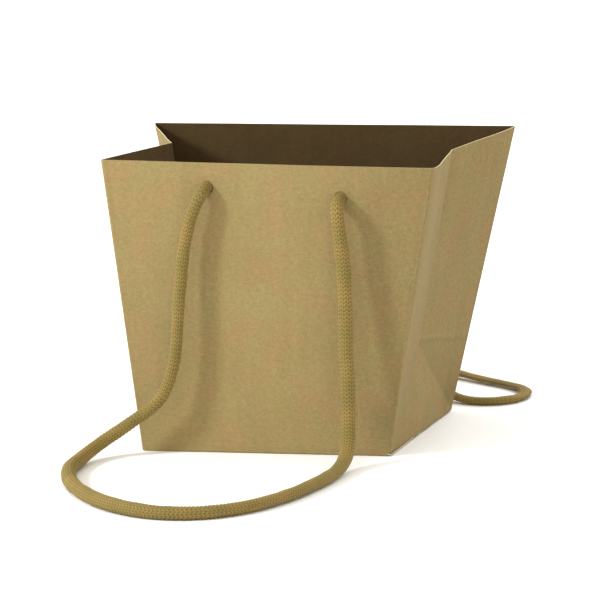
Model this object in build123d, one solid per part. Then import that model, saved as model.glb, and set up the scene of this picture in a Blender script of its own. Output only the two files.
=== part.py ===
from build123d import *
import math
import os

# A small gift bag folded from one sheet of kraft paper, standing open, with two cord handles.
# Millimetres. Origin at the middle of the bottom's underside, +Z up, front towards -Y.

os.makedirs("parts", exist_ok=True)

# Paper
paper = 0.4                     # thickness of one layer

# Body of the bag, measured on the outside
bottom_width = 128.0            # along X
bottom_depth = 112.0            # along Y
height = 143.0
front_mouth_width = 174.0       # the front wall's top edge
back_mouth_width = 186.0        # the back wall's top edge, cut a little wider
front_mouth_y = -50.0           # the front wall leans in
back_mouth_y = 67.0             # the back wall leans out

# Side gussets: each is creased down its middle and tucked in between the walls
right_tuck = 11.0               # how far the middle crease stands in at the mouth
left_tuck = 23.0
crease_drop = 1.0               # the middle crease dips below the rim by this much
foot_height = 44.5              # along the paper, from the bottom up to where the creases meet
right_foot_lean = 2.0           # degrees that the foot triangle leans in
left_foot_lean = 16.0

# Room for the creases to turn
corner_gap = 1.3                # a gusset half from its corner crease
crease_gap = 2.1                # a gusset half from the middle crease
foot_crease_gap = 1.0           # a gusset half from the slanted crease at its foot
foot_gap = 0.8                  # a foot triangle from its own three creases
flap_gap = 0.7                  # the bottom flaps from the front and back walls
flap_side_gap = 1.7             # the bottom flaps from the foot triangles

# Bottom flaps, glued on each other
flap_lap = 12.0                 # how far the front and back flaps reach past the middle
side_flap_depth = 34.0

# Glued seam inside the front right corner
seam_width = 14.0
seam_corner_gap = 2.5
seam_end_gap = 3.0

# Cord handles
cord_diameter = 6.0
hole_diameter = 7.2
punch_length = 8.0              # long enough to cut a leaning wall right through
front_holes = ((-29.0, 12.0), (39.3, 15.5))     # across the wall, and down from the rim
back_holes = ((-34.0, 30.0), (34.0, 30.0))
knot_radius = 6.5
knot_flat = 4.8                 # from the knot's middle to its flat side
knot_gap = 0.7                  # between a knot's middle and the leaning wall it hangs on
tail_radius = 2.8
tail_length = 9.0
floor_z = cord_diameter / 2 + 0.05

X_AXIS, Y_AXIS, Z_AXIS = Vector(1, 0, 0), Vector(0, 1, 0), Vector(0, 0, 1)


def save(shape, node):
    export_step(shape, f"parts/{node}.step")


def between(a, b, share):
    return a + (b - a) * share


def patch(corners, left=0.0, right=0.0, bottom=0.0, top=0.0):
    """The four corners (lower left, lower right, upper right, upper left) after each edge moves in."""
    a, b, c, d = corners
    width = ((b - a).length + (c - d).length) / 2
    tall = ((d - a).length + (c - b).length) / 2

    def at(u, v):
        return between(between(a, b, u), between(d, c, u), v)

    u0, u1 = left / width, 1 - right / width
    v0, v1 = bottom / tall, 1 - top / tall
    return at(u0, v0), at(u1, v0), at(u1, v1), at(u0, v1)


def edge_strip(a, b, inward, start, thick):
    """The thin upright outline of a sheet's edge from a to b."""
    near, far = inward * start, inward * (start + thick)
    return Wire.make_polygon([a + near, b + near, b + far, a + far], close=True)


def sheet(corners, low_inward, top_inward, start=0.0, thick=paper):
    """A ruled sheet of paper whose outer face runs through the corners."""
    a, b, c, d = corners
    low = edge_strip(a, b, low_inward, start, thick)
    top = edge_strip(d, c, top_inward, start, thick)
    return Solid.make_loft([low, top], ruled=True)


def side_points(side):
    """The crease points of one gusset: side is 1 on the right and -1 on the left."""
    tuck = right_tuck if side > 0 else left_tuck
    lean = math.radians(right_foot_lean if side > 0 else left_foot_lean)
    front_low = Vector(side * bottom_width / 2, -bottom_depth / 2, 0)
    back_low = Vector(side * bottom_width / 2, bottom_depth / 2, 0)
    front_top = Vector(side * front_mouth_width / 2, front_mouth_y, height)
    back_top = Vector(side * back_mouth_width / 2, back_mouth_y, height)
    apex = Vector(
        side * (bottom_width / 2 - foot_height * math.sin(lean)), 0, foot_height * math.cos(lean)
    )
    inward = inward_of(front_top, back_top, side)
    crease_top = between(front_top, back_top, 0.5) + inward * tuck - Z_AXIS * crease_drop
    return front_low, back_low, front_top, back_top, apex, crease_top


def inward_of(front, back, side):
    """The level direction square to a gusset's edge that points into the bag."""
    return Z_AXIS.cross(back - front).normalized() * side


def front_wall_corners():
    left, right = side_points(-1), side_points(1)
    return left[0], right[0], right[2], left[2]


def back_wall_corners():
    left, right = side_points(-1), side_points(1)
    return left[1], right[1], right[3], left[3]


def wall_y(z, low_y, top_y):
    return low_y + (top_y - low_y) * z / height


def hole_points(holes, low_y, top_y):
    """The middle of each hole on a wall's outer face."""
    return [Vector(x, wall_y(height - drop, low_y, top_y), height - drop) for x, drop in holes]


def punched(wall, points):
    for point in points:
        punch = Cylinder(hole_diameter / 2, punch_length, rotation=(90, 0, 0))
        wall = wall - Pos(point.X, point.Y, point.Z) * punch
    return wall.solids()[0]


def gusset_half(side, at_front):
    front_low, back_low, front_top, back_top, apex, crease_top = side_points(side)
    low, top = (front_low, front_top) if at_front else (back_low, back_top)
    corners = patch(
        (low, apex, crease_top, top), left=corner_gap, right=crease_gap, bottom=foot_crease_gap
    )
    turn = side if at_front else -side
    low_inward = inward_of(corners[0], corners[1], turn)
    top_inward = inward_of(corners[3], corners[2], turn)
    return sheet(corners, low_inward, top_inward)


def gusset_foot(side):
    """The triangle that stands on the bottom's side edge."""
    front_low, back_low, _, _, apex, _ = side_points(side)
    corners = [front_low, back_low, apex]
    across = (back_low - front_low).length
    slant = (apex - front_low).length
    area = across * math.sqrt(slant**2 - (across / 2) ** 2) / 2
    inner_radius = 2 * area / (across + 2 * slant)
    centre = (front_low * slant + back_low * slant + apex * across) / (across + 2 * slant)
    share = 1 - foot_gap / inner_radius
    outline = Wire.make_polygon([centre + (c - centre) * share for c in corners], close=True)
    inward = (back_low - front_low).cross(apex - front_low).normalized() * -side
    return Solid.extrude(Face(outline), inward * paper)


def bottom_flap(x_half, y_low, y_high, layer):
    flap = Box(2 * x_half, y_high - y_low, paper)
    return Pos(0, (y_low + y_high) / 2, (layer + 0.5) * paper) * flap


def side_flap(side, x_half, y_half, layer):
    """A tapered end flap, innermost, with its ends cut on the slant."""
    inner_x = x_half - side_flap_depth
    inner_y = y_half - side_flap_depth / 2
    z = layer * paper
    outline = [(x_half, -y_half), (x_half, y_half), (inner_x, inner_y), (inner_x, -inner_y)]
    wire = Wire.make_polygon([Vector(side * x, y, z) for x, y in outline], close=True)
    return Solid.extrude(Face(wire), Z_AXIS * paper)


def seam_tab():
    """The glued strip inside the front wall, along its right edge."""
    _, b, c, _ = front_wall_corners()
    corners = (
        b - X_AXIS * (seam_corner_gap + seam_width),
        b - X_AXIS * seam_corner_gap,
        c - X_AXIS * seam_corner_gap,
        c - X_AXIS * (seam_corner_gap + seam_width),
    )
    corners = patch(corners, bottom=seam_end_gap, top=seam_end_gap)
    return sheet(corners, Y_AXIS, Y_AXIS, start=paper)


def knot(hole, outward):
    """A tight knot behind its hole, with a flat side to the wall and a short tail hanging down.

    outward is the direction along Y that leads out of the bag.
    """
    face_y = knot_face_y(hole, outward)
    centre = Vector(hole.X, face_y - outward * knot_flat, hole.Z)
    ball = Pos(centre.X, centre.Y, centre.Z) * Sphere(knot_radius)
    keep = Box(4 * knot_radius, 2 * knot_radius, 4 * knot_radius)
    ball = ball & Pos(centre.X, face_y - outward * knot_radius, centre.Z) * keep
    tail = Cylinder(tail_radius, tail_length + knot_radius, align=(Align.CENTER, Align.CENTER, Align.MAX))
    return (ball + Pos(centre.X, centre.Y, centre.Z) * tail).solids()[0]


def knot_face_y(hole, outward):
    return hole.Y - outward * (paper + knot_gap)


def corner_radii(points):
    """The largest arc that each inner point leaves room for."""
    radii = []
    for before, here, after in zip(points, points[1:], points[2:]):
        turn = (here - before).get_angle(after - here)
        shorter = min((here - before).length, (after - here).length)
        radii.append(0.45 * shorter / math.tan(math.radians(turn / 2)))
    return radii


def cord(node, points):
    radii = corner_radii(points)
    path = FilletPolyline(*points, radius=radii)
    section = Plane(origin=path @ 0, z_dir=path % 0) * Circle(cord_diameter / 2)
    tube = sweep(section, path=path)
    filled = tube.volume / (math.pi * cord_diameter**2 / 4 * path.length)
    print(f"{node}: length {path.length:.1f}, volume over section x length {filled:.4f}")
    print("  radii", " ".join(f"{radius:.1f}" for radius in radii))
    save(tube.solids()[0], node)


def front_cord_points(holes):
    """Down the front of the bag, round a loose loop on the floor before it, and up again."""
    left, right = holes
    return [
        Vector(left.X, knot_face_y(left, -1), left.Z),
        Vector(left.X, left.Y - 8.4, left.Z),
        Vector(-32.6, -62.4, 121.4),
        Vector(-37.8, -63.2, 105.0),
        Vector(-40.6, -65.2, 84.5),
        Vector(-42.2, -67.6, 63.5),
        Vector(-44.6, -69.2, 44.0),
        Vector(-51.4, -71.6, 28.5),
        Vector(-65.5, -74.8, 16.0),
        Vector(-80.5, -80.5, 7.2),
        Vector(-88.6, -97.0, floor_z),
        Vector(-82.5, -124.0, floor_z),
        Vector(-66.0, -158.0, floor_z),
        Vector(-45.0, -186.0, floor_z),
        Vector(-18.0, -204.5, floor_z),
        Vector(9.0, -206.0, floor_z),
        Vector(29.0, -189.0, floor_z),
        Vector(41.5, -161.0, floor_z),
        Vector(47.6, -131.0, floor_z),
        Vector(50.0, -106.0, floor_z),
        Vector(49.4, -85.5, 5.4),
        Vector(46.8, -73.6, 19.0),
        Vector(45.4, -69.6, 38.0),
        Vector(44.3, -66.6, 59.0),
        Vector(42.6, -63.8, 81.0),
        Vector(40.8, -62.6, 99.0),
        Vector(39.6, -63.4, 114.0),
        Vector(right.X, right.Y - 9.4, right.Z),
        Vector(right.X, knot_face_y(right, -1), right.Z),
    ]


def back_cord_points(holes):
    """Down behind the bag, round a loop that shows past its right side, and up again."""
    left, right = holes
    return [
        Vector(right.X, knot_face_y(right, 1), right.Z),
        Vector(right.X, right.Y + 9.6, right.Z),
        Vector(34.8, 79.6, 100.6),
        Vector(36.2, 83.4, 84.0),
        Vector(35.8, 86.0, 66.0),
        Vector(34.6, 88.2, 49.0),
        Vector(34.8, 90.2, 33.0),
        Vector(38.2, 91.0, 18.6),
        Vector(45.4, 88.0, 7.6),
        Vector(55.4, 80.4, floor_z),
        Vector(67.0, 73.4, floor_z),
        Vector(80.6, 74.3, floor_z),
        Vector(91.0, 83.1, floor_z),
        Vector(94.3, 96.3, floor_z),
        Vector(89.2, 108.9, floor_z),
        Vector(77.8, 116.8, floor_z),
        Vector(60.0, 126.6, floor_z),
        Vector(35.0, 142.5, floor_z),
        Vector(5.0, 157.5, floor_z),
        Vector(-26.0, 177.0, floor_z),
        Vector(-58.0, 175.0, floor_z),
        Vector(-79.0, 156.0, floor_z),
        Vector(-80.5, 128.0, floor_z),
        Vector(-68.5, 105.5, floor_z),
        Vector(-54.0, 91.0, 9.2),
        Vector(-42.6, 84.6, 21.6),
        Vector(-36.4, 82.6, 38.0),
        Vector(-34.8, 82.4, 56.0),
        Vector(-36.0, 83.0, 74.0),
        Vector(-36.6, 82.4, 88.0),
        Vector(-35.6, 80.2, 101.0),
        Vector(left.X, left.Y + 9.6, left.Z),
        Vector(left.X, knot_face_y(left, 1), left.Z),
    ]


def build():
    front_low_y, back_low_y = -bottom_depth / 2, bottom_depth / 2
    front_points = hole_points(front_holes, front_low_y, front_mouth_y)
    back_points = hole_points(back_holes, back_low_y, back_mouth_y)

    front = sheet(front_wall_corners(), Y_AXIS, Y_AXIS)
    back = sheet(back_wall_corners(), -Y_AXIS, -Y_AXIS)
    save(punched(front, front_points), "front_wall")
    save(punched(back, back_points), "back_wall")
    save(seam_tab(), "seam_tab")

    for side, word in ((1, "right"), (-1, "left")):
        save(gusset_half(side, True), f"{word}_front_gusset")
        save(gusset_half(side, False), f"{word}_back_gusset")
        save(gusset_foot(side), f"{word}_gusset_foot")

    flap_x = bottom_width / 2 - flap_side_gap
    flap_y = bottom_depth / 2 - paper - flap_gap
    save(bottom_flap(flap_x, -flap_y, flap_lap, 0), "bottom_front_flap")
    save(bottom_flap(flap_x, -flap_lap, flap_y, 1), "bottom_back_flap")
    save(side_flap(1, flap_x, flap_y, 2), "bottom_right_flap")
    save(side_flap(-1, flap_x, flap_y, 2), "bottom_left_flap")

    for word, point in zip(("left", "right"), front_points):
        save(knot(point, -1), f"front_{word}_knot")
    for word, point in zip(("left", "right"), back_points):
        save(knot(point, 1), f"back_{word}_knot")
    cord("front_handle", front_cord_points(front_points))
    cord("back_handle", back_cord_points(back_points))


build()
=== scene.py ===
import math

import bpy
import numpy as np
from mathutils import Matrix, Vector, noise


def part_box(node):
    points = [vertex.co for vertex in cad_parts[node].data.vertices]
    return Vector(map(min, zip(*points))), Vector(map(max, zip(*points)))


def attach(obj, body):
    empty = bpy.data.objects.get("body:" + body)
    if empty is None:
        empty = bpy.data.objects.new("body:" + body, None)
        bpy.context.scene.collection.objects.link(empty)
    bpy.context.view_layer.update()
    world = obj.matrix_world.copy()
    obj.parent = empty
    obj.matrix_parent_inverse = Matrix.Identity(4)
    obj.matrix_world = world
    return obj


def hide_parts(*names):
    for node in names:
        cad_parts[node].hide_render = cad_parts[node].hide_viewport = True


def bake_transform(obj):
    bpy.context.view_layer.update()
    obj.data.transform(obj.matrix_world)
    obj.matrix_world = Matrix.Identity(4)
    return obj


# A small kraft paper gift bag with two knitted cord handles.
# Shapes are worked out in millimetres and written to the meshes in metres.

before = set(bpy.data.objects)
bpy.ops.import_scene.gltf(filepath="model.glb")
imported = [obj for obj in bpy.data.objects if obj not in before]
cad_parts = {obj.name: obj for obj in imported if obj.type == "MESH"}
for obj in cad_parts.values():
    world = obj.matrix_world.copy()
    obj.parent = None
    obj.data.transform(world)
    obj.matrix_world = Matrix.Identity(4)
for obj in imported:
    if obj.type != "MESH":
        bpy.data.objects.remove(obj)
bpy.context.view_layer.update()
MM = 0.001


def node_box(node):
    """A CAD node's lowest and highest corners, in millimetres."""
    low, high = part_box(node)
    return np.array(low) / MM, np.array(high) / MM


# ---------------------------------------------------------------- sizes

front_box = node_box("front_wall")
back_box = node_box("back_wall")
flap_box = node_box("bottom_front_flap")

height = front_box[1][2]
front_low_y = front_box[0][1]
back_low_y = -front_low_y
front_top_y = -50.0
back_top_y = back_box[1][1]
front_half = front_box[1][0]            # half the front wall's width at the mouth
back_half = back_box[1][0]
low_half = 64.0                         # half the bottom's width

paper = 0.34
fold_radius = 0.8                       # outside radius of a folded edge
fold_turn = math.radians(49)            # half the angle that a corner fold turns through
right_tuck, left_tuck = 11.0, 23.0      # how far the middle creases stand in at the mouth
right_lean, left_lean = 2.0, 16.0       # degrees that the foot triangles lean in
foot_height = 44.5
body_crease_z = 49.0                    # the level crease round the bag, just above the feet
layer = 0.4                             # one bottom flap lies this much above the next
stand_clear = 1.0                       # the bottom flaps end this far inside the side edges

cord_diameter = 6.0
hole_radius = 3.25
knit_depth = 0.6                        # from the gaps between the stitches to their crowns
knot_setback = 5.9                      # a knot's middle behind its wall's outer face
floor_z = 3.05                          # a resting cord's middle above the floor
thick_z = 3.45                          # the same where the cord is fuller
stitch = 1.95                           # length of one knitted stitch
wales = 8                               # columns of stitches round the cord
around = wales * 6                      # points round a knitted cord

X_AXIS, Y_AXIS, Z_AXIS = np.eye(3)


# ---------------------------------------------------------------- node materials


class Nodes:
    """A small helper that builds a material's node tree."""

    def __init__(self, name):
        self.material = bpy.data.materials.new(name)
        self.material.use_nodes = True
        self.tree = self.material.node_tree
        self.shader = self.tree.nodes["Principled BSDF"]

    def node(self, kind, inputs=None, **settings):
        made = self.tree.nodes.new(kind)
        for key, value in settings.items():
            setattr(made, key, value)
        for key, value in (inputs or {}).items():
            self.feed(made.inputs[key], value)
        return made

    def feed(self, socket, value):
        if isinstance(value, bpy.types.NodeSocket):
            self.tree.links.new(value, socket)
        else:
            socket.default_value = value

    def surface(self, stretch):
        """The piece's own flat coordinates in millimetres, stretched along each axis."""
        uv = self.node("ShaderNodeUVMap", uv_map="paper")
        scaled = self.node(
            "ShaderNodeVectorMath", {0: uv.outputs[0], 1: stretch}, operation="MULTIPLY"
        )
        return scaled.outputs[0]

    def noise(self, vector, scale, detail=3.0, roughness=0.55):
        made = self.node(
            "ShaderNodeTexNoise",
            {"Vector": vector, "Scale": scale, "Detail": detail, "Roughness": roughness},
        )
        return made.outputs["Fac"]

    def spread(self, value, low, high, to_low=0.0, to_high=1.0):
        made = self.node(
            "ShaderNodeMapRange",
            {"Value": value, "From Min": low, "From Max": high, "To Min": to_low, "To Max": to_high},
        )
        return made.outputs["Result"]

    def math(self, operation, a, b=0.0):
        return self.node("ShaderNodeMath", {0: a, 1: b}, operation=operation).outputs[0]

    def mix(self, share, a, b, blend="MIX"):
        made = self.node("ShaderNodeMix", data_type="RGBA", blend_type=blend)
        self.feed(made.inputs["Factor"], share)
        for key, value in (("A", a), ("B", b)):
            sockets = [s for s in made.inputs if s.name == key and s.type == "RGBA"]
            self.feed(sockets[0], value)
        return [s for s in made.outputs if s.type == "RGBA"][0]

    def attribute(self, name):
        return self.node("ShaderNodeAttribute", attribute_name=name).outputs["Fac"]

    def bump(self, value, distance, strength=1.0, normal=None):
        made = self.node(
            "ShaderNodeBump", {"Height": value, "Distance": distance, "Strength": strength}
        )
        if normal is not None:
            self.feed(made.inputs["Normal"], normal)
        return made.outputs[0]


def rgb(red, green, blue):
    return (red, green, blue, 1.0)


def kraft_paper(name, base, pale, ruddy, dark, fold_gain, crease_gain):
    """Matte brown paper: soft tone clouds, level fibres, specks, and paler folds of paper wear with a
    painted highlight, with a painted shade line beside them.
    """
    m = Nodes(name)
    even = m.surface((1.0, 1.0, 1.0))
    along = m.surface((0.3, 1.0, 1.0))
    streaks = m.surface((0.9, 0.07, 1.0))
    clouds = m.noise(even, 0.035, 2.0)
    tint = m.noise(even, 0.06, 3.0)
    mottle = m.noise(even, 0.4, 4.0, 0.6)
    fibre = m.noise(along, 1.3, 3.0, 0.6)
    grain = m.noise(even, 0.85, 4.0, 0.7)

    colour = m.mix(m.spread(clouds, 0.35, 0.65), base, pale)
    colour = m.mix(m.spread(tint, 0.44, 0.62, 0.0, 0.9), colour, ruddy)
    shade = m.spread(mottle, 0.25, 0.75, 0.90, 1.10)
    shade = m.math("MULTIPLY", shade, m.spread(fibre, 0.25, 0.75, 0.91, 1.09))
    shade = m.math("MULTIPLY", shade, m.spread(grain, 0.25, 0.75, 0.87, 1.13))
    shade = m.math("MULTIPLY", shade, m.spread(m.noise(streaks, 0.2, 2.0), 0.3, 0.7, 0.97, 1.03))

    specks = m.node("ShaderNodeTexVoronoi", {"Vector": along, "Scale": 0.55, "Randomness": 1.0})
    speck_size = m.noise(even, 0.9, 1.0)
    near = m.math("LESS_THAN", specks.outputs["Distance"], m.spread(speck_size, 0.5, 0.75, 0.0, 0.16))
    colour = m.mix(m.math("MULTIPLY", near, 0.35), colour, dark)

    # Fold mark: a pale line of paper wear with a painted highlight on the fold, and a painted shade
    # line beside it.
    worn_and_shaded = m.math("MULTIPLY", m.attribute("fold"), m.spread(mottle, 0.3, 0.7, 0.4, 1.3))
    shade = m.math("ADD", shade, m.math("MULTIPLY", worn_and_shaded, fold_gain))
    # Pressed crease: a painted highlight line with a painted shade line under it.
    shade = m.math("ADD", shade, m.math("MULTIPLY", m.attribute("crease"), crease_gain))
    # Painted light and shade given per point on each sheet.
    shade = m.math("ADD", shade, m.attribute("tone"))
    grey = m.node("ShaderNodeCombineColor", {0: shade, 1: shade, 2: shade}).outputs[0]
    m.feed(m.shader.inputs["Base Color"], m.mix(1.0, colour, grey, "MULTIPLY"))

    m.feed(m.shader.inputs["Roughness"], m.spread(fibre, 0.2, 0.8, 0.78, 0.92))
    m.feed(m.shader.inputs["Specular IOR Level"], 0.22)
    rough = m.math("ADD", fibre, m.math("MULTIPLY", grain, 0.8))
    fine = m.bump(rough, 0.00006, 0.55)
    m.feed(m.shader.inputs["Normal"], m.bump(m.noise(even, 0.16, 2.0), 0.0012, 0.35, fine))
    return m.material


def cut_edge():
    """The pale raw edge where the sheet was cut."""
    m = Nodes("cut_edge")
    fibres = m.noise(m.surface((1.0, 1.0, 1.0)), 1.4, 3.0)
    colour = m.mix(fibres, rgb(0.55, 0.44, 0.24), rgb(0.86, 0.74, 0.48))
    m.feed(m.shader.inputs["Base Color"], colour)
    m.feed(m.shader.inputs["Roughness"], m.spread(fibres, 0.3, 0.7, 0.82, 0.95))
    m.feed(m.shader.inputs["Specular IOR Level"], 0.15)
    return m.material


def knitted_cord():
    """Golden brown yarn: each stitch pale on its crown and darkened with painted shade where it tucks
    in, with fine plies.
    """
    m = Nodes("knitted_cord")
    crown = m.attribute("crown")
    uv = m.surface((1.0, 1.0, 1.0))
    plies = m.noise(m.surface((2.2, 0.8, 1.0)), 2.4, 3.0, 0.6)
    wear = m.noise(uv, 0.05, 3.0)
    yarn = m.mix(m.spread(wear, 0.38, 0.62), rgb(0.255, 0.197, 0.052), rgb(0.345, 0.230, 0.063))
    # Painted shade: the yarn goes dark where each stitch tucks in between the others.
    colour = m.mix(m.spread(crown, 0.1, 0.85, 0.9, 0.0), yarn, rgb(0.085, 0.060, 0.014))
    colour = m.mix(m.spread(plies, 0.55, 0.8, 0.0, 0.4), colour, rgb(0.37, 0.28, 0.10))
    m.feed(m.shader.inputs["Base Color"], colour)
    m.feed(m.shader.inputs["Roughness"], m.spread(plies, 0.3, 0.7, 0.62, 0.82))
    m.feed(m.shader.inputs["Specular IOR Level"], 0.22)
    m.feed(m.shader.inputs["Sheen Weight"], 0.05)
    m.feed(m.shader.inputs["Sheen Roughness"], 0.5)
    m.feed(m.shader.inputs["Normal"], m.bump(plies, 0.00015, 0.6))
    return m.material


def floor_material():
    """Plain pale paper-like backdrop with a hardly visible unevenness."""
    m = Nodes("studio_floor")
    place = m.node("ShaderNodeTexCoord").outputs["Object"]
    tone = m.noise(place, 3.0, 2.0)
    colour = m.mix(tone, rgb(0.925, 0.945, 0.965), rgb(0.94, 0.96, 0.98))
    m.feed(m.shader.inputs["Base Color"], colour)
    m.feed(m.shader.inputs["Roughness"], 0.9)
    m.feed(m.shader.inputs["Specular IOR Level"], 0.1)
    return m.material


# ---------------------------------------------------------------- camera and light


def aim(azimuth, elevation):
    """The direction that a camera at that azimuth and elevation looks along."""
    a, e = math.radians(azimuth), math.radians(elevation)
    return Vector((-math.sin(a) * math.cos(e), math.cos(a) * math.cos(e), -math.sin(e)))


def make_camera():
    """A long lens a good way off, a little to the right and above, tipped slightly."""
    azimuth, elevation, roll = 17.07, 10.84, math.radians(-1.45)
    distance, across, up_shift = 3.004, 0.0004, -0.0646
    forward = aim(azimuth, elevation)
    level_right = Vector((math.cos(math.radians(azimuth)), math.sin(math.radians(azimuth)), 0))
    level_up = level_right.cross(forward)
    right = math.cos(roll) * level_right + math.sin(roll) * level_up
    up = -math.sin(roll) * level_right + math.cos(roll) * level_up
    data = bpy.data.cameras.new("camera")
    data.lens, data.sensor_width = 360.0, 36.0
    data.clip_start, data.clip_end = 0.1, 20.0
    camera = bpy.data.objects.new("camera", data)
    bpy.context.collection.objects.link(camera)
    camera.rotation_mode = "QUATERNION"
    camera.rotation_quaternion = Matrix((right, up, -forward)).transposed().to_quaternion()
    camera.location = -forward * distance - right * across - up * up_shift
    bpy.context.scene.camera = camera


def area_light(name, azimuth, elevation, distance, size, power, colour):
    """A round light that shines on the bag's middle from that side and height."""
    bag_middle = Vector((0, 0, 0.07))
    data = bpy.data.lights.new(name, "AREA")
    data.shape, data.size, data.energy, data.color = "DISK", size, power, colour
    light = bpy.data.objects.new(name, data)
    bpy.context.collection.objects.link(light)
    forward = aim(azimuth, elevation)
    light.rotation_mode = "QUATERNION"
    light.rotation_quaternion = forward.to_track_quat("-Z", "Y")
    light.location = bag_middle - forward * distance


def make_lights():
    """A small cool key from the left front, a weak fill, and a soft light from behind."""
    area_light("key_light", -50, 30, 1.15, 0.18, 8.8, (0.91, 0.96, 1.02))
    area_light("fill_light", 50, 22, 1.8, 1.2, 0.4, (1.0, 0.92, 0.8))
    area_light("back_light", 162, 38, 1.6, 0.9, 11.0, (0.94, 0.99, 1.1))
    world = bpy.data.worlds.new("studio")
    world.use_nodes = True
    background = world.node_tree.nodes["Background"]
    background.inputs["Color"].default_value = rgb(1.0, 0.945, 0.85)
    background.inputs["Strength"].default_value = 1.18
    bpy.context.scene.world = world
    bpy.context.scene.view_settings.view_transform = "Standard"


def make_floor():
    """A plain pale floor that runs far enough to fill the view."""
    reach = 6.0
    mesh = bpy.data.meshes.new("studio_floor")
    corners = [(-reach, -reach, 0), (reach, -reach, 0), (reach, reach, 0), (-reach, reach, 0)]
    mesh.from_pydata(corners, [], [(0, 1, 2, 3)])
    mesh.materials.append(floor_material())
    floor = bpy.data.objects.new("studio_floor", mesh)
    bpy.context.collection.objects.link(floor)
    floor.location.z = -0.0002


# ---------------------------------------------------------------- meshes


def make_object(name, points, faces, materials, uvs, marks, face_slots=None):
    """A mesh object from points in millimetres, with flat coordinates and point values."""
    mesh = bpy.data.meshes.new(name)
    mesh.from_pydata((np.asarray(points) * MM).tolist(), [], faces)
    for material in materials:
        mesh.materials.append(material)
    if face_slots is not None:
        mesh.polygons.foreach_set("material_index", face_slots)
    mesh.polygons.foreach_set("use_smooth", [True] * len(faces))
    layer_data = mesh.uv_layers.new(name="paper").data
    loop_points = np.empty(len(mesh.loops), dtype=np.int32)
    mesh.loops.foreach_get("vertex_index", loop_points)
    layer_data.foreach_set("uv", np.asarray(uvs)[loop_points].ravel().astype(np.float32))
    for key, values in marks.items():
        attribute = mesh.attributes.new(key, "FLOAT", "POINT")
        attribute.data.foreach_set("value", np.asarray(values, np.float32))
    mesh.update()
    made = bpy.data.objects.new(name, mesh)
    bpy.context.collection.objects.link(made)
    return made


def wave(points, scale, seed):
    """Soft unevenness between -1 and 1 at each point."""
    offset = Vector((seed * 17.3, seed * 5.1, seed * 9.7))
    flat = points.reshape(-1, 3)
    values = [noise.noise(Vector(p) / scale + offset) for p in flat.tolist()]
    return np.array(values).reshape(points.shape[:-1])


# ---------------------------------------------------------------- cords


def front_route(left, right):
    """Down the front of the bag, round a loose loop on the floor before it, and up again."""
    return [
        (left[0], left[1] + 1.1, left[2]),
        (left[0] - 0.2, left[1] - 7.0, left[2]),
        (-33.4, -60.8, 121.8),
        (-38.0, -62.4, 105.0),
        (-40.0, -65.2, 84.5),
        (-41.0, -67.6, 63.5),
        (-42.6, -69.2, 44.0),
        (-48.6, -71.6, 27.8),
        (-65.0, -74.8, 16.0),
        (-77.6, -81.0, 7.6),
        (-82.2, -97.5, thick_z),
        (-80.8, -124.0, thick_z),
        (-68.0, -157.0, thick_z),
        (-45.0, -187.0, thick_z),
        (-18.0, -205.5, thick_z),
        (9.0, -205.0, floor_z),
        (29.0, -188.0, floor_z),
        (41.5, -161.0, floor_z),
        (47.6, -131.0, floor_z),
        (50.0, -106.0, floor_z),
        (49.4, -85.5, 5.4),
        (47.2, -73.6, 19.0),
        (45.9, -69.6, 38.0),
        (44.6, -66.6, 59.0),
        (44.2, -63.8, 81.0),
        (42.6, -62.6, 99.0),
        (41.0, -63.4, 114.0),
        (right[0], right[1] - 9.4, right[2]),
        (right[0], right[1] + 1.1, right[2]),
    ]


def back_route(left, right):
    """Down behind the bag, round a loop that shows past its right side, and up again."""
    low_z = 1.8
    return [
        (right[0], right[1] - 1.1, right[2]),
        (right[0], right[1] + 9.6, right[2]),
        (34.8, 79.6, 100.6),
        (36.2, 83.4, 84.0),
        (35.8, 86.0, 66.0),
        (34.6, 88.2, 49.0),
        (34.8, 90.2, 33.0),
        (38.2, 91.0, 18.6),
        (45.4, 88.0, 7.6),
        (55.4, 80.4, floor_z),
        (67.0, 73.4, low_z),
        (80.0, 73.8, low_z),
        (89.6, 82.0, low_z),
        (91.8, 96.3, low_z),
        (86.4, 108.9, low_z),
        (76.0, 116.8, low_z),
        (60.0, 126.6, low_z),
        (35.0, 142.5, floor_z),
        (5.0, 157.5, floor_z),
        (-26.0, 177.0, floor_z),
        (-58.0, 175.0, floor_z),
        (-79.0, 156.0, floor_z),
        (-80.5, 128.0, floor_z),
        (-68.5, 105.5, floor_z),
        (-54.0, 91.0, 9.2),
        (-42.6, 84.6, 21.6),
        (-36.4, 82.6, 38.0),
        (-34.8, 82.4, 56.0),
        (-36.0, 83.0, 74.0),
        (-36.6, 82.4, 88.0),
        (-35.6, 80.2, 101.0),
        (left[0], left[1] + 9.6, left[2]),
        (left[0], left[1] - 1.1, left[2]),
    ]


def spline_points(name, route, closed=False):
    """The smooth line through a route, in millimetres, read from its NURBS spline."""
    curve = bpy.data.curves.new(name, "CURVE")
    curve.dimensions = "3D"
    spline = curve.splines.new("NURBS")
    spline.points.add(len(route) - 1)
    for point, place in zip(spline.points, route):
        point.co = (place[0] * MM, place[1] * MM, place[2] * MM, 1)
    spline.order_u = 3
    spline.use_endpoint_u = not closed
    spline.use_cyclic_u = closed
    spline.resolution_u = 16
    holder = bpy.data.objects.new(name, curve)
    bpy.context.collection.objects.link(holder)
    line = bpy.data.meshes.new_from_object(holder)
    points = np.array([v.co for v in line.vertices]) / MM
    bpy.data.objects.remove(holder)
    bpy.data.curves.remove(curve)
    bpy.data.meshes.remove(line)
    return points


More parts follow.
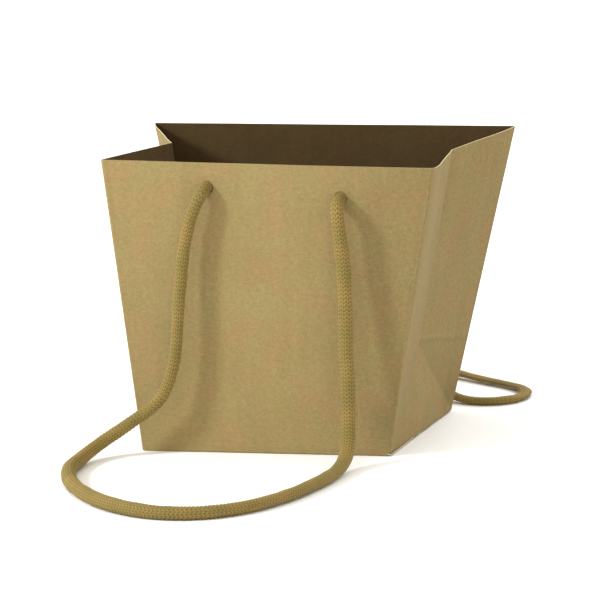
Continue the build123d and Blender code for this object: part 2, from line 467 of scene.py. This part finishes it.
def even_steps(points, step):
    """The line resampled at even distances, with each sample's distance along it."""
    runs = np.linalg.norm(np.diff(points, axis=0), axis=1)
    points = points[np.r_[True, runs > 1e-6]]
    runs = runs[runs > 1e-6]
    at = np.r_[0, np.cumsum(runs)]
    count = max(int(round(at[-1] / step)), 8)
    wanted = np.linspace(0, at[-1], count + 1)
    line = np.stack([np.interp(wanted, at, points[:, k]) for k in range(3)], axis=1)
    smooth = line.copy()
    for _ in range(6):
        smooth[1:-1] = smooth[1:-1] * 0.5 + (smooth[:-2] + smooth[2:]) * 0.25
    return smooth, wanted


def unit(vectors):
    """The vectors, each made one long."""
    return vectors / np.maximum(np.linalg.norm(vectors, axis=-1, keepdims=True), 1e-9)


def knit_height(along, round_share):
    """How high the knitted surface stands, 0 in the gaps and 1 on the crown of a stitch."""
    column = round_share * wales
    across = np.abs(2 * (column % 1.0) - 1)             # 0 at a column's middle, 1 at its edge
    phase = along / stitch + 0.8 * across               # each stitch is a V
    strand = np.abs(np.sin(np.pi * phase)) ** 0.8
    leg = np.sin(np.pi * np.clip(0.08 + 0.84 * across, 0, 1)) ** 0.5
    return strand * leg


def knit_tube(name, line, at, outward, half_wide, half_high, material, ends_in):
    """A knitted cord along a line. outward says which way its thin side faces at each sample."""
    tangent = unit(np.gradient(line, axis=0))
    up = unit(outward - (outward * tangent).sum(axis=1, keepdims=True) * tangent)
    side = np.cross(tangent, up)
    mean_stitch = 0.62
    share = np.arange(around) / around
    angle = 2 * np.pi * share
    stitches = knit_height(at[:, None], share[None, :])
    lumps = 0.16 * wave(line, 7, 41) + 0.14 * wave(line, 19, 43)
    proud = knit_depth * (stitches - mean_stitch) + lumps[:, None]
    line = line + side * (0.35 * wave(line, 15, 47))[:, None]
    end_fade = np.ones(len(at))
    for cap in range(ends_in):
        rounded = np.sqrt(1 - (1 - (cap + 0.4) / ends_in) ** 2)
        end_fade[cap] = end_fade[-1 - cap] = rounded
    wide = (half_wide * end_fade)[:, None] + proud
    high = (half_high * end_fade)[:, None] + proud
    rings = (
        line[:, None, :]
        + side[:, None, :] * (np.cos(angle)[None, :] * wide)[:, :, None]
        + up[:, None, :] * (np.sin(angle)[None, :] * high)[:, :, None]
    )
    count = len(at)
    points = rings.reshape(-1, 3)
    ring, spot = np.meshgrid(np.arange(count - 1), np.arange(around), indexing="ij")
    after = (spot + 1) % around
    this_ring, next_ring = ring * around, (ring + 1) * around
    faces = np.stack(
        [this_ring + spot, this_ring + after, next_ring + after, next_ring + spot], axis=-1
    ).reshape(-1, 4)
    faces = faces[:, ::-1].tolist()
    faces.append(list(range(around)))
    faces.append(list(range((count - 1) * around, count * around))[::-1])
    uvs = np.stack(
        [np.repeat(at, around), np.tile(share * np.pi * cord_diameter, count)], axis=1
    )
    return make_object(name, points, faces, [material], uvs, {"crown": stitches.ravel()})


def facing(line, wall_side):
    """Which way a resting cord's flat faces: out of the wall where it hangs, up where it lies."""
    lying = np.clip(1 - (line[:, 2] - 5) / 30, 0, 1)[:, None]
    return lying * Z_AXIS + (1 - lying) * (wall_side * Y_AXIS)


def profile(at, stations):
    """Values between stations given as (share of the length, value), eased from one to the next."""
    shares, values = zip(*stations)
    place = np.interp(at / at[-1], shares, np.arange(len(shares)))
    base = np.minimum(place.astype(int), len(shares) - 2)
    t = place - base
    values = np.array(values)
    return values[base] + (values[base + 1] - values[base]) * t * t * (3 - 2 * t)


def hole_place(knot_node, wall):
    """The middle of the hole beside a knot, on the wall's outer face."""
    low, high = node_box(knot_node)
    x = (low[0] + high[0]) / 2
    z = high[2] - (high[0] - low[0]) / 2
    low_y, top_y = (front_low_y, front_top_y) if wall == "front" else (back_low_y, back_top_y)
    return np.array([x, low_y + (top_y - low_y) * z / height, z])


def make_knot(name, node, hole, wall_side, body, material):
    """An overhand knot pulled tight against the inside of the wall, with a short tail."""
    centre = hole - wall_side * Y_AXIS * knot_setback
    size, turns, strand, sample = 1.28, 12, 2.25, 0.45
    route = []
    for k in range(turns):
        t = 2 * math.pi * k / turns
        route.append((
            centre[0] + size * (math.sin(t) + 2 * math.sin(2 * t)),
            centre[1] - wall_side * size * 0.8 * math.sin(3 * t),
            centre[2] + size * (math.cos(t) - 2 * math.cos(2 * t)),
        ))
    line, at = even_steps(spline_points(name, route + route[:1]), sample)
    outward = unit(line - centre + 0.01)
    thick = np.full(len(at), strand)
    knot = knit_tube(name, line, at, outward, thick, thick, material, 1)

    tail_route = [
        (centre[0] + 1.0, centre[1], centre[2] - 1.0),
        (centre[0] + 0.6, centre[1] - wall_side * 0.6, centre[2] - 6.0),
        (centre[0] - 0.8, centre[1] - wall_side * 0.8, centre[2] - 10.5),
        (centre[0] - 0.4, centre[1] - wall_side * 1.6, centre[2] - 14.6),
    ]
    line, at = even_steps(spline_points(name + "_tail", tail_route), sample)
    toward = np.tile(-wall_side * Y_AXIS, (len(at), 1))
    flare = profile(at, ((0, 2.4), (0.75, 2.5), (1, 2.9)))
    tail = knit_tube(name + "_tail", line, at, toward, flare, flare * 0.86, material, 2)
    for piece in (knot, tail):
        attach(piece, body)
    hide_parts(node)
    return [knot, tail]


def make_handle(word, route, wall_side, half_wide, half_high, material):
    """One cord handle: it hangs from its wall and rests in a loop on the floor."""
    points = spline_points(f"{word}_handle_line", route)
    sample = 0.32
    line, at = even_steps(points, sample)
    outward = facing(line, wall_side)
    name = f"{word}_cord_handle"
    cord = knit_tube(
        name, line, at, outward, profile(at, half_wide), profile(at, half_high), material, 1
    )
    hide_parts(f"{word}_handle")
    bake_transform(cord)


def make_cords():
    """Both handles and their four knots. Returns the middles of the holes that they pass."""
    material = knitted_cord()
    holes, knots = {}, {}
    for wall, wall_side in (("front", -1), ("back", 1)):
        for end in ("left", "right"):
            node = f"{wall}_{end}_knot"
            holes[wall, end] = hole_place(node, wall)
            knots[wall, end] = make_knot(
                f"{wall}_{end}_overhand_knot", node, holes[wall, end], wall_side,
                f"{wall}_wall", material,
            )
    # Half the cord's width and height at shares of its length.
    front_wide = (
        (0, 2.75), (0.03, 2.85), (0.08, 2.9), (0.2, 2.8), (0.27, 3.1), (0.34, 3.5), (0.46, 3.3),
        (0.6, 3.1), (0.72, 3.3), (0.8, 3.5), (0.92, 3.45), (0.98, 3.1), (1, 2.85),
    )
    front_high = (
        (0, 2.75), (0.2, 2.9), (0.28, 3.2), (0.36, 3.6), (0.48, 3.4), (0.56, 2.95), (0.7, 2.8),
        (0.85, 2.85), (1, 2.75),
    )
    make_handle(
        "front", front_route(holes["front", "left"], holes["front", "right"]), -1,
        front_wide, front_high,
        material,
    )
    back_wide = ((0, 2.8), (0.16, 3.0), (0.22, 3.0), (0.28, 3.3), (0.5, 3.3), (0.8, 3.0), (1, 2.8))
    back_high = (
        (0, 2.7), (0.13, 2.8), (0.18, 1.7), (0.28, 1.75), (0.32, 1.15), (0.4, 1.15), (0.5, 2.6),
        (1, 2.8),
    )
    make_handle(
        "back", back_route(holes["back", "left"], holes["back", "right"]), 1,
        back_wide, back_high,
        material,
    )
    return holes


# ---------------------------------------------------------------- paper


def corner_points():
    """The folded sheet's corners: bottom, mouth, and each gusset's apex and middle crease.

    The bag isn't quite square: the small numbers move its corners from the CAD's plain ones.
    """
    places = {
        "front_low_left": np.array([-low_half + 1.0, front_low_y - 6.5, 0]),
        "front_low_right": np.array([low_half - 2.3, front_low_y + 3.0, 0]),
        "back_low_left": np.array([-low_half, back_low_y, 0]),
        "back_low_right": np.array([low_half - 1.1, back_low_y, 0]),
        "front_top_left": np.array([-front_half + 2.7, front_top_y, height]),
        "front_top_right": np.array([front_half - 1.3, front_top_y, height]),
        "back_top_left": np.array([-back_half - 1.2, back_top_y, height - 0.7]),
        "back_top_right": np.array([back_half + 3.3, back_top_y, height + 2.1]),
    }
    sides = (("right", 1, right_tuck, right_lean), ("left", -1, left_tuck, left_lean))
    for word, side, tuck, lean in sides:
        front = np.array([side * front_half, front_top_y, height])
        back = np.array([side * back_half, back_top_y, height])
        inward = side * unit(np.cross(Z_AXIS, back - front))
        places[f"crease_top_{word}"] = (front + back) / 2 + inward * tuck - Z_AXIS
        angle = math.radians(lean)
        places[f"apex_{word}"] = np.array(
            [side * (low_half - foot_height * math.sin(angle)), 0, foot_height * math.cos(angle)]
        )
    return places


def fold_spacing(length, folded_low, folded_high, step):
    """Shares from 0 to 1 across a panel, close together where an edge is folded round."""
    rounded = [0, 0.12, 0.26, 0.42, 0.6, 0.8, 1.1, 1.8]
    low = rounded if folded_low else [0, 0.5, 1.2]
    high = rounded if folded_high else [0, 0.5, 1.2]
    inner = np.linspace(low[-1], length - high[-1], max(int(length / step), 2) + 1)[1:-1]
    places = np.concatenate([low, inner, length - np.array(high)[::-1]])
    return places / length


def fold_shift(distance, radius, half_turn):
    """How far a folded edge moves in along the panel, and in through it, at that distance from it."""
    reach = radius * math.tan(half_turn)
    angle = np.clip(1 - distance / reach, 0, 1) * half_turn
    along = np.where(distance < reach, reach - radius * np.sin(angle) - distance, 0.0)
    through = radius * (1 - np.cos(angle))
    return along, through


def paper_sheet(
    name, corners, folds, shape, flat_axis, materials, step=2.6, creases=None, worn_and_shaded=(), tone=None,
    inner_painted_light=lambda u, v: np.zeros_like(u),
):
    """A sheet of paper in one panel of the bag.

    corners go lower left, lower right, upper right, upper left as seen from outside. folds names
    the edges that turn a corner, and a second list the other creased ones; both get a pale line of
    paper wear with a painted highlight, and a painted shade line beside it. shape gives how far the
    sheet bows out, from the shares u and v and the points. flat_axis is the axis that its fibres run
    along. creases marks the pressed lines with a painted highlight and shade, and tone and the
    inside's tone give the painted light and shade: how much darker or paler the outside and the
    inside are drawn.
    """
    low_left, low_right, high_right, high_left = corners
    low_side, high_side = low_right - low_left, high_right - high_left
    left_side, right_side = high_left - low_left, high_right - low_right
    width = (np.linalg.norm(low_side) + np.linalg.norm(high_side)) / 2
    tall = (np.linalg.norm(left_side) + np.linalg.norm(right_side)) / 2
    us = fold_spacing(width, "left" in folds, "right" in folds, step)
    vs = fold_spacing(tall, "bottom" in folds, False, step)
    u, v = np.meshgrid(us, vs, indexing="ij")
    u3, v3 = u[..., None], v[..., None]
    low_line = low_left * (1 - u3) + low_right * u3
    high_line = high_left * (1 - u3) + high_right * u3
    points = low_line * (1 - v3) + high_line * v3
    to_right = unit(low_side * (1 - v3) + high_side * v3)
    to_top = unit(left_side * (1 - u3) + right_side * u3)
    out = unit(np.cross(to_right, to_top))

    points = points + out * shape(u, v, points)[..., None]
    fold = np.zeros_like(u)
    edges = (
        ("left", u * width, to_right), ("right", (1 - u) * width, -to_right),
        ("bottom", v * tall, to_top),
    )
    for edge, distance, direction in edges:
        if edge in folds:
            along, through = fold_shift(distance, fold_radius, fold_turn)
            points = points + direction * along[..., None] - out * through[..., None]
        # Each fold gets a pale line of paper wear with a painted highlight, and a painted shade line 2
        # mm in; the other creased edges get a weaker one.
        if edge in folds or edge in worn_and_shaded:
            pale = np.exp(-((distance / 0.8) ** 2))
            dark = 0.5 * np.exp(-(((distance - 2.0) / 1.0) ** 2))
            mark = (pale - dark) * (1.0 if edge in folds else 0.45)
            fold = np.where(np.abs(mark) > np.abs(fold), mark, fold)

    across = np.gradient(points, axis=0)
    upward = np.gradient(points, axis=1)
    normal = unit(np.cross(across, upward))
    inner = points - normal * paper
    nu, nv = u.shape
    both = np.concatenate([points.reshape(-1, 3), inner.reshape(-1, 3)])

    faces, slots = [], []

    def add_face(slot, *spots):
        """A face from its spots, each (column, row, 0 on the outside or 1 on the inside)."""
        faces.append(tuple(side * nu * nv + i * nv + j for i, j, side in spots))
        slots.append(slot)

    for i in range(nu - 1):
        for j in range(nv - 1):
            add_face(0, (i, j, 0), (i + 1, j, 0), (i + 1, j + 1, 0), (i, j + 1, 0))
            add_face(1, (i, j, 1), (i, j + 1, 1), (i + 1, j + 1, 1), (i + 1, j, 1))
    rim_start = len(faces)
    edge_slot = {edge: 0 if edge in folds or edge in worn_and_shaded else 2 for edge, _, _ in edges}
    last_i, last_j = nu - 1, nv - 1
    for i in range(last_i):
        add_face(edge_slot["bottom"], (i, 0, 0), (i, 0, 1), (i + 1, 0, 1), (i + 1, 0, 0))
        add_face(2, (i, last_j, 0), (i + 1, last_j, 0), (i + 1, last_j, 1), (i, last_j, 1))
    for j in range(last_j):
        add_face(edge_slot["left"], (0, j, 0), (0, j + 1, 0), (0, j + 1, 1), (0, j, 1))
        add_face(
            edge_slot["right"],
            (last_i, j, 0), (last_i, j, 1), (last_i, j + 1, 1), (last_i, j + 1, 0),
        )

    # Each sheet gets its own stretch of the paper's pattern.
    seed = sum(ord(letter) for letter in name) % 97
    flat = np.stack([points @ flat_axis + 211.0 * seed, points[..., 2]], axis=-1).reshape(-1, 2)
    crease = np.zeros_like(u) if creases is None else creases(u, v, points)
    shades = np.zeros_like(u) if tone is None else tone(points)
    marks = {
        "fold": np.tile(fold.ravel(), 2),
        "crease": np.tile(crease.ravel(), 2),
        "tone": np.concatenate([shades.ravel(), inner_painted_light(u, v).ravel()]),
    }
    made = make_object(name, both, faces, materials, np.concatenate([flat, flat + 57.0]), marks, slots)
    sharp_rim(made, rim_start)
    return made


def sharp_rim(piece, rim_start):
    """Marks the edges round the sheet's own thin edge as sharp, so that both faces shade cleanly."""
    mesh = piece.data
    rim = set(range(rim_start, len(mesh.polygons)))
    rim_edges = {key for i in rim for key in mesh.polygons[i].edge_keys}
    face_edges = {key for i, p in enumerate(mesh.polygons) if i not in rim for key in p.edge_keys}
    for edge in mesh.edges:
        if edge.key in rim_edges and edge.key in face_edges:
            edge.use_edge_sharp = True


def punch_holes(wall, holes, radius):
    """Cuts plain round holes through a wall, with the cut edge's own material."""
    for number, place in enumerate(holes):
        bpy.ops.mesh.primitive_cylinder_add(
            vertices=48, radius=radius * MM, depth=0.006, location=Vector(place * MM),
            rotation=(math.pi / 2, 0, 0),
        )
        cutter = bpy.context.object
        cutter.data.materials.append(wall.data.materials[2])
        cut = wall.modifiers.new(f"hole_{number}", "BOOLEAN")
        cut.operation, cut.solver, cut.object = "DIFFERENCE", "EXACT", cutter
        cut.material_mode = "TRANSFER"
        bpy.context.view_layer.objects.active = wall
        bpy.ops.object.modifier_apply(modifier=cut.name)
        bpy.data.objects.remove(cutter)


def panel_mask(u, v):
    """1 inside a panel, falling to 0 at its folded sides and bottom, and free at the mouth."""
    return np.sin(np.pi * np.clip(u, 0, 1)) ** 0.7 * np.sin(np.pi / 2 * np.clip(v * 1.15, 0, 1)) ** 0.8


def soft_patch(points, place, width, tall):
    """1 at a place on a wall, given by its x or y and its z, falling softly to 0 round it."""
    across = points[..., place[0]] - place[1]
    return np.exp(-((across / width) ** 2) - (((points[..., 2] - place[2]) / tall) ** 2))


def front_painted_light_and_shade(points):
    """Painted shade on the front's right third, the right cord's painted shadow low down on the right,
    painted light lifting the shade low down, and a soft darker patch on the left.
    """
    # Painted shade darkens the right third.
    right = np.clip((points[..., 0] - 22) / 44, 0, 1)
    darker = -0.14 * right**2 * (3 - 2 * right)
    # Painted light lifts the shade low down.
    low = 0.06 * np.exp(-points[..., 2] / 30)
    left_mark = soft_patch(points, (0, -52, 62), 16, 22)
    # The darker patch at x 60, low down, is the right cord's painted shadow.
    return darker + low - 0.2 * soft_patch(points, (0, 60, 17), 9, 13) - 0.05 * left_mark


def gusset_painted_shade(points):
    """Painted shade: the sides are a touch darker, more so below the level crease, and darker still in
    a patch near the back bottom corner.
    """
    below = 1 / (1 + np.exp(np.clip((points[..., 2] - 40) / 3, -30, 30)))
    return -0.08 - 0.03 * below - 0.16 * soft_patch(points, (1, 47, 9), 8, 10)


def foot_painted_light_and_shade(points):
    """A painted highlight line up the middle, painted shade over the whole foot, and a painted shade
    patch near the back bottom corner.
    """
    # Painted highlight along the middle ridge.
    middle = 0.05 * soft_patch(points, (1, -4, 12), 3.5, 26)
    return middle - 0.04 - 0.16 * soft_patch(points, (1, 47, 9), 8, 10)


def front_shape(u, v, points):
    """A crowned panel, bowed out most at the mouth right of its middle, with a wavy lip."""
    crown = 1.1 * np.sin(np.pi * u) * np.sin(np.pi * v) ** 0.8
    bow = 2.5 * np.exp(-(((u - 0.62) / 0.24) ** 2)) * v**1.5
    lip = 0.5 * np.sin(2.3 * np.pi * u + 0.6) * v**3
    soft = lip + 0.8 * wave(points, 55, 1) + 0.22 * wave(points, 17, 2)
    return crown + bow + panel_mask(u, v) * soft


def back_shape(u, v, points):
    """A crowned panel with soft dents."""
    crown = 1.3 * np.sin(np.pi * u) * np.sin(np.pi * v)
    return crown + panel_mask(u, v) * (1.0 * wave(points, 60, 3) + 0.25 * wave(points, 18, 4))


def gusset_shape(bow, crease_share, seed):
    """A gusset half's bow, strongest at the mouth, with the level crease pressed across it."""
    def shape(u, v, points):
        from_corner = np.abs(crease_share - u)          # 0 at the corner fold, 1 at the middle crease
        swell = bow * np.sin(np.pi * from_corner**0.55) * v**1.6
        level = np.exp(-np.abs(above_crease(points)) / 9.0)
        pressed = 0.3 * (level - 0.15) * np.sin(np.pi * u)
        soft = 0.7 * wave(points, 32, seed) + 0.2 * wave(points, 12, seed + 5)
        return swell + pressed + panel_mask(u, v) * soft
    return shape


def above_crease(points):
    """How far each point is above the pressed line, which drops a little towards the corners."""
    return points[..., 2] - body_crease_z + 0.16 * np.abs(points[..., 1])


def level_crease(u, v, points):
    """Marks the pressed line across a gusset half: a painted highlight line with a painted shade line
    under it.
    """
    over = above_crease(points)
    return np.exp(-((over / 0.8) ** 2)) - 0.7 * np.exp(-(((over + 1.9) / 1.2) ** 2))


def make_walls(places, holes, materials):
    folds = ("left", "right", "bottom")
    front_corners = ("front_low_left", "front_low_right", "front_top_right", "front_top_left")
    front = paper_sheet(
        "front_paper", [places[corner] for corner in front_corners], folds, front_shape, X_AXIS,
        materials, tone=front_painted_light_and_shade,
    )
    punch_holes(front, [holes["front", "left"], holes["front", "right"]], hole_radius)
    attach(front, "front_wall")
    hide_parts("front_wall")
    back_corners = ("back_low_right", "back_low_left", "back_top_left", "back_top_right")
    back = paper_sheet(
        "back_paper", [places[corner] for corner in back_corners], folds, back_shape, X_AXIS,
        materials,
    )
    punch_holes(back, [holes["back", "left"], holes["back", "right"]], hole_radius)
    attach(back, "back_wall")
    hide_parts("back_wall")


def make_gussets(places, materials):
    """The four gusset halves."""
    # turn_start and turn_end are heights in metres, past both ends of the paper.
    sides = (("right", 1.5, 0.5, -0.0653, 0.162), ("left", 1.0, 1.4, -0.052, 0.1605))
    for word, bow_front, bow_back, turn_start, turn_end in sides:
        apex, crease_top = places[f"apex_{word}"], places[f"crease_top_{word}"]
        front = [places[f"front_low_{word}"], apex, crease_top, places[f"front_top_{word}"]]
        back = [apex, places[f"back_low_{word}"], places[f"back_top_{word}"], crease_top]
        for part, corners, bow in (("front", front, bow_front), ("back", back, bow_back)):
            # Whether the corner fold is on the left, seen from outside.
            at_left = (part == "front") == (word == "right")

            # Painted light: the inside is drawn paler towards the corner fold and the mouth.
            def paler_inside(u, v, corner_share=0 if at_left else 1):
                return 0.5 * np.abs(1 - corner_share - u) * v**2

            if word == "left":
                corners = [corners[1], corners[0], corners[3], corners[2]]
            piece = paper_sheet(
                f"{word}_{part}_gusset_paper", corners, ("left",) if at_left else ("right",),
                gusset_shape(bow, 0 if at_left else 1, 11 if part == "front" else 17),
                Y_AXIS, materials, step=2.2, creases=level_crease,
                worn_and_shaded=("bottom", "right" if at_left else "left"), tone=gusset_painted_shade,
                inner_painted_light=paler_inside,
            )
            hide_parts(f"{word}_{part}_gusset")
            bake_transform(piece)


def foot_shape(u, v, points):
    """A slight bulge, with a soft ridge up the middle."""
    ridge = 0.5 * np.exp(-(((u - 0.45) / 0.12) ** 2)) * (1 - v) * np.minimum(v * 5, 1)
    bulge = 0.5 * np.sin(np.pi * u) * (1 - v) * v * 4
    return bulge + ridge + 0.25 * wave(points, 14, 23) * (1 - v) * np.sin(np.pi * u)


def make_feet(places, materials):
    """The triangle at the foot of each gusset, folded up from the bottom's side edge."""
    for word in ("right", "left"):
        front, back = places[f"front_low_{word}"], places[f"back_low_{word}"]
        apex = places[f"apex_{word}"]
        low = [front, back] if word == "right" else [back, front]
        tip = unit(low[1] - low[0]) * 0.4
        piece = paper_sheet(
            f"{word}_foot_paper", [*low, apex + tip, apex - tip], ("bottom",), foot_shape, Y_AXIS,
            materials, step=2.2, worn_and_shaded=("left", "right"), tone=foot_painted_light_and_shade,
        )
        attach(piece, f"{word}_foot")
        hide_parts(f"{word}_gusset_foot")


def flat_flap(name, corners, number, curl, materials):
    """One bottom flap lying on the layers below it, its free edge lifting a touch."""
    def shape(u, v, points):
        return -curl * np.maximum(v - 0.75, 0) ** 2 * 16 - 0.02 * wave(points, 20, number + 30)

    lifted = [np.array([x, y, number * layer]) for x, y in corners]
    piece = paper_sheet(name, lifted, (), shape, X_AXIS, materials, step=4.0)
    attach(piece, "bottom")
    return piece


def make_bottom(places, outside, inside, rim):
    """The glued block bottom: front flap outermost, then the back flap, then the tapered end flaps."""
    half_x = low_half - stand_clear
    wall_gap = 0.35
    high_y = back_low_y - wall_gap
    lap = flap_box[1][1]
    under = [outside, inside, outside]
    middle = [inside, inside, rim]
    # Seen from below, so that the outer side of the paper faces down.
    left = places["front_low_left"] + (stand_clear, wall_gap, 0)
    right = places["front_low_right"] + (-stand_clear, wall_gap, 0)
    piece = flat_flap(
        "bottom_front_flap_paper", [right[:2], left[:2], (-half_x, lap), (half_x - 1.5, lap)],
        0, 0.0, under,
    )
    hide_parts("bottom_front_flap")
    back_corners = [
        (-half_x, high_y), (half_x - 1.1, high_y), (half_x - 1.7, -lap), (-half_x, -lap),
    ]
    piece = flat_flap(
        "bottom_back_flap_paper", back_corners, 1, 0.12, middle
    )
    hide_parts("bottom_back_flap")
    depth, taper, half_length = 34.0, 17.0, 54.0
    end_x = low_half - 1.7
    for word, side in (("right", 1), ("left", -1)):
        outer_x, inner_x = side * end_x, side * (end_x - depth)
        near, far = -side * half_length, side * half_length
        short = side * taper
        piece = flat_flap(
            f"bottom_{word}_flap_paper",
            [(outer_x, far), (outer_x, near), (inner_x, near + short), (inner_x, far - short)],
            2, 0.35, middle,
        )
        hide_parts(f"bottom_{word}_flap")


def make_seam(places, inside, rim):
    """The glued strip down the inside of the front wall's right edge."""
    low, top = places["front_low_right"], places["front_top_right"]
    near, far = 2.2, 16.0                   # from the wall's right edge
    back_set = Y_AXIS * (paper + 0.18)
    low_near, top_near = low - X_AXIS * near, top - X_AXIS * near
    low_far, top_far = low - X_AXIS * far, top - X_AXIS * far
    up = (top - low) * 0.02
    corners = [low_far + up, low_near + up, top_near - up, top_far - up]
    corners = [corner + back_set for corner in corners]

    def shape(u, v, points):
        whole_u = 1 - (far - u * (far - near)) / (2 * front_half)
        return front_shape(whole_u, v, points) - 0.1 * np.sin(np.pi * u) ** 2

    piece = paper_sheet("seam_paper", corners, (), shape, X_AXIS, [inside, inside, rim], step=3.0)
    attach(piece, "front_wall")
    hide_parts("seam_tab")


def make_paper(holes):
    outside = kraft_paper(
        "kraft_outside", rgb(0.256, 0.192, 0.0750), rgb(0.268, 0.208, 0.0835), rgb(0.282, 0.191, 0.079),
        rgb(0.10, 0.06, 0.022), 0.14, 0.14,
    )
    # The inside is the same kraft paper drawn much darker: painted shade for the dim inside of the bag.
    inside = kraft_paper(
        "kraft_inside_painted_shade", rgb(0.058, 0.0345, 0.0102), rgb(0.067, 0.041, 0.0126), rgb(0.067, 0.038, 0.012),
        rgb(0.03, 0.017, 0.008), 0.10, 0.06,
    )
    rim = cut_edge()
    materials = [outside, inside, rim]
    places = corner_points()
    make_walls(places, holes, materials)
    make_gussets(places, materials)
    make_feet(places, materials)
    make_bottom(places, outside, inside, rim)
    make_seam(places, inside, rim)


make_camera()
make_lights()
make_floor()
hole_places = make_cords()
make_paper(hole_places)
